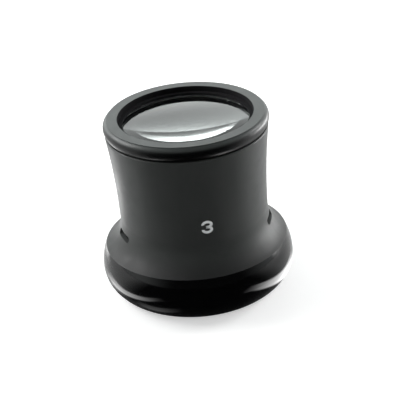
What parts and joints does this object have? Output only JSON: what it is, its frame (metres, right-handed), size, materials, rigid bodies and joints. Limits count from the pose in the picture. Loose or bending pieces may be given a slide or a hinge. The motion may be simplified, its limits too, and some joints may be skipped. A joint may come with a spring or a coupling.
{
  "type": "watchmaker's eye loupe",
  "caption": "Watchmaker's eye-socket loupe: flared black cup with a round glass lens under a threaded bead ring, standing on its eye rim.",
  "frame": {"origin": "centre of the rest face of the eye rim, on the optical axis", "axes": "+Z along the optical axis from the eye rim to the lens, -Y towards the power mark on the barrel"},
  "size_m": [0.0362, 0.0362, 0.0345],
  "materials": {
    "moulded_black": "black moulded plastic, satin barrel and flare, polished eye rim",
    "optical_glass": "polished clear glass with ground edge",
    "polished_black": "black moulded plastic, polished bead and turned matte flat face"
  },
  "bodies": {
    "cup": {"eyecup": "moulded_black"},
    "lens_seat": {"lens": "optical_glass"},
    "ring": {"screw_ring": "polished_black"}
  },
  "joints": [
    {"name": "ring_turn", "type": "hinge", "parent": "cup", "child": "lens_seat", "pos_m": [0, 0, 0.031], "axis": [0, 0, 1], "range_deg": [0, 720]},
    {"name": "ring_lift", "type": "slide", "parent": "lens_seat", "child": "ring", "axis": [0, 0, 1], "range_m": [0, 0.0012]}
  ],
  "couplings": [
    {"joint": "ring_lift", "follows": "ring_turn", "m_per_rad": 0.000095493}
  ]
}
